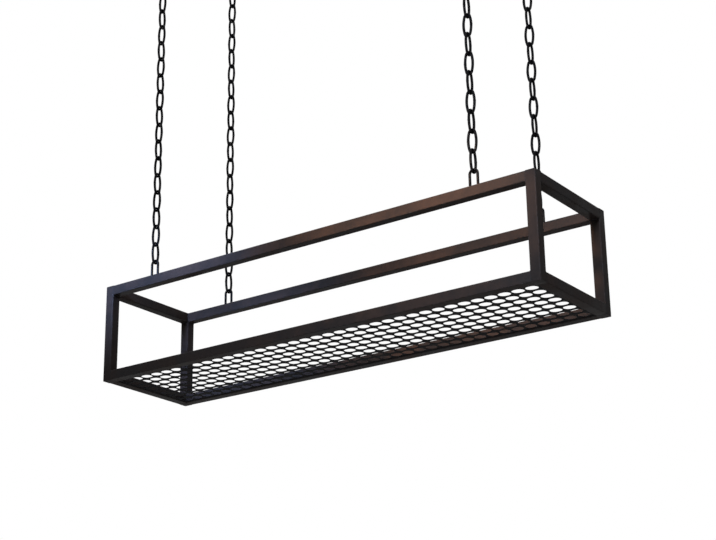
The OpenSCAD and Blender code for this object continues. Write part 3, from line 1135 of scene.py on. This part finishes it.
def area_light(name, place_at, aim, size, power, color=(1, 1, 1), spread=100.0):
    """A soft light, with a level width and a height, that looks at a point. From each of
    its points the light leaves in a cone of spread degrees."""
    lamp = bpy.data.lights.new(name, "AREA")
    lamp.shape = "RECTANGLE"
    lamp.size, lamp.size_y = size
    lamp.energy = power
    lamp.color = color
    lamp.spread = math.radians(spread)
    holder = new_object(name, lamp)
    holder.location = place_at
    direction = Vector(aim) - Vector(place_at)
    holder.rotation_euler = direction.to_track_quat("-Z", "Y").to_euler()
    holder.visible_camera = False


def rack_lights():
    """A cool and a warm strip light on the near top rail, a broad front light on the near
    end, a wash up onto the ceiling fittings and a soft light from above."""
    front_face = -0.125
    rail = RAIL_TOP - TUBE_WIDTH / 2
    end = (0.6, front_face, RACK_BOTTOM + 0.1)
    cool, warm, pale = (0.44, 0.60, 1.0), (1.0, 0.58, 0.34), (0.80, 0.88, 1.0)
    left, right = (-0.37, front_face, rail + 0.01), (0.22, front_face, rail - 0.01)
    area_light("cool", (-0.37, -0.80, -0.55), left, (0.44, 0.05), 0.41, cool, 23.0)
    area_light("warm", (0.22, -0.80, -0.55), right, (0.45, 0.05), 0.31, warm, 26.0)
    area_light("front", (0.75, -2.6, 0.3), end, (1.0, 1.0), 2.9, pale, 40.0)
    area_light("wash", (0.0, 0.0, -0.32), (0.0, 0.0, 0.0), (1.5, 1.5), 3.0, spread=170.0)
    area_light("top", (0.0, 0.2, 1.6), (0.0, 0.0, RACK_BOTTOM), (1.8, 1.8), 12.0)


def seen_ray(tree):
    """1 where the camera sees a surface, straight or in a reflection, and 0 elsewhere."""
    path = add(tree, "ShaderNodeLightPath").outputs
    seen = math_node(tree, "MAXIMUM", path["Is Camera Ray"], path["Is Glossy Ray"])
    return math_node(tree, "MAXIMUM", seen, path["Is Transmission Ray"])


def white_world(stage):
    """Background light: plain white to the camera and in reflections, softer elsewhere."""
    world = bpy.data.worlds.new("studio")
    world.use_nodes = True
    tree = world.node_tree
    strength = remap(tree, seen_ray(tree), 0.0, 1.0, stage.sky, 1.0)
    light = {"Color": (1, 1, 1, 1), "Strength": strength}
    feed(tree, tree.nodes["Background"].inputs, light)
    bpy.context.scene.world = world


def floor_finish(stage):
    """Pale matt floor, mixed with white where it is seen, which leaves it its shadow.

    The share of white grows to 1 with the distance from the floor's middle, so that the
    floor runs out into the white background with no line between them."""
    fade_from, fade_to = 0.8, 4.5
    material = bpy.data.materials.new("studio_floor")
    material.use_nodes = True
    tree = material.node_tree
    matt = tree.nodes["Principled BSDF"]
    feed(tree, matt.inputs, {"Base Color": opaque(stage.floor_color), "Roughness": 0.9})
    glow = add(tree, "ShaderNodeEmission")
    spot = {0: object_place(tree)}
    away = add(tree, "ShaderNodeVectorMath", spot, operation="LENGTH").outputs["Value"]
    white = remap(tree, away, fade_from, fade_to, stage.floor_white, 1.0)
    share = math_node(tree, "MULTIPLY", seen_ray(tree), white)
    shaders = {0: share, 1: matt.outputs[0], 2: glow.outputs[0]}
    mixed = add(tree, "ShaderNodeMixShader", shaders)
    feed(tree, tree.nodes["Material Output"].inputs, {"Surface": mixed.outputs[0]})
    return material


class RACK_OT_stage(bpy.types.Operator):
    """Set up the camera, the lights, the floor and the background"""

    bl_idname = "rack.stage"
    bl_label = "Stage"

    def execute(self, context):
        stage = context.scene.rack_stage
        lens = bpy.data.cameras.new("camera")
        lens.sensor_width = 36.0
        lens.lens = stage.lens
        lens.shift_x = stage.shift_x
        lens.shift_y = stage.shift_y
        lens.clip_end = 100.0
        camera = new_object("camera", lens)
        camera.location = Vector(stage.camera_place) + Vector((0, 0, RACK_BOTTOM))
        camera.rotation_euler = (math.pi / 2 + stage.camera_pitch, 0, stage.camera_yaw)
        context.scene.camera = camera
        context.scene.view_settings.view_transform = "Standard"

        white_world(stage)
        reach = 12.0
        corners = [(-reach, -reach), (reach, -reach), (reach, reach), (-reach, reach)]
        ground = bpy.data.meshes.new("floor")
        ground.from_pydata([(x, y, 0.0) for x, y in corners], [], [(0, 1, 2, 3)])
        ground.materials.append(floor_finish(stage))
        floor = new_object("floor", ground)
        floor.location = (0.0, 0.0, RACK_BOTTOM - stage.floor_drop)

        rack_lights()
        return {"FINISHED"}


# ---------------------------------------------------------------- panel and main


OPERATORS = (
    RACK_OT_posts,
    RACK_OT_caps,
    RACK_OT_rails,
    RACK_OT_frame_welds,
    RACK_OT_shelf,
    RACK_OT_tack_welds,
    RACK_OT_hanging_eyes,
    RACK_OT_chains,
    RACK_OT_ceiling_hooks,
    RACK_OT_ceiling_plates,
    RACK_OT_stage,
)


class RACK_PT_panel(bpy.types.Panel):
    """Buttons that make the rack's pieces, and its sizes and colours"""

    bl_idname = "RACK_PT_panel"
    bl_label = "Hanging Rack"
    bl_space_type = "VIEW_3D"
    bl_region_type = "UI"
    bl_category = "Rack"

    def draw(self, context):
        for operator in OPERATORS:
            self.layout.operator(operator.bl_idname)
        for name in PROPERTIES:
            box = self.layout.box()
            group = getattr(context.scene, name)
            for setting in group.bl_rna.properties.keys():
                if setting not in ("rna_type", "name"):
                    box.prop(group, setting)


CLASSES = (*PROPERTIES.values(), *OPERATORS, RACK_PT_panel)


def register():
    for made in CLASSES:
        bpy.utils.register_class(made)
    for name, group in PROPERTIES.items():
        setattr(bpy.types.Scene, name, PointerProperty(type=group))


def unregister():
    for name in PROPERTIES:
        delattr(bpy.types.Scene, name)
    for made in reversed(CLASSES):
        bpy.utils.unregister_class(made)


def main():
    register()
    bpy.ops.rack.posts()
    bpy.ops.rack.caps()
    bpy.ops.rack.rails()
    bpy.ops.rack.frame_welds()
    bpy.ops.rack.shelf()
    bpy.ops.rack.tack_welds()
    bpy.ops.rack.hanging_eyes()
    bpy.ops.rack.chains()
    bpy.ops.rack.ceiling_hooks()
    bpy.ops.rack.ceiling_plates()
    bpy.ops.rack.stage()


if __name__ == "__main__":
    main()
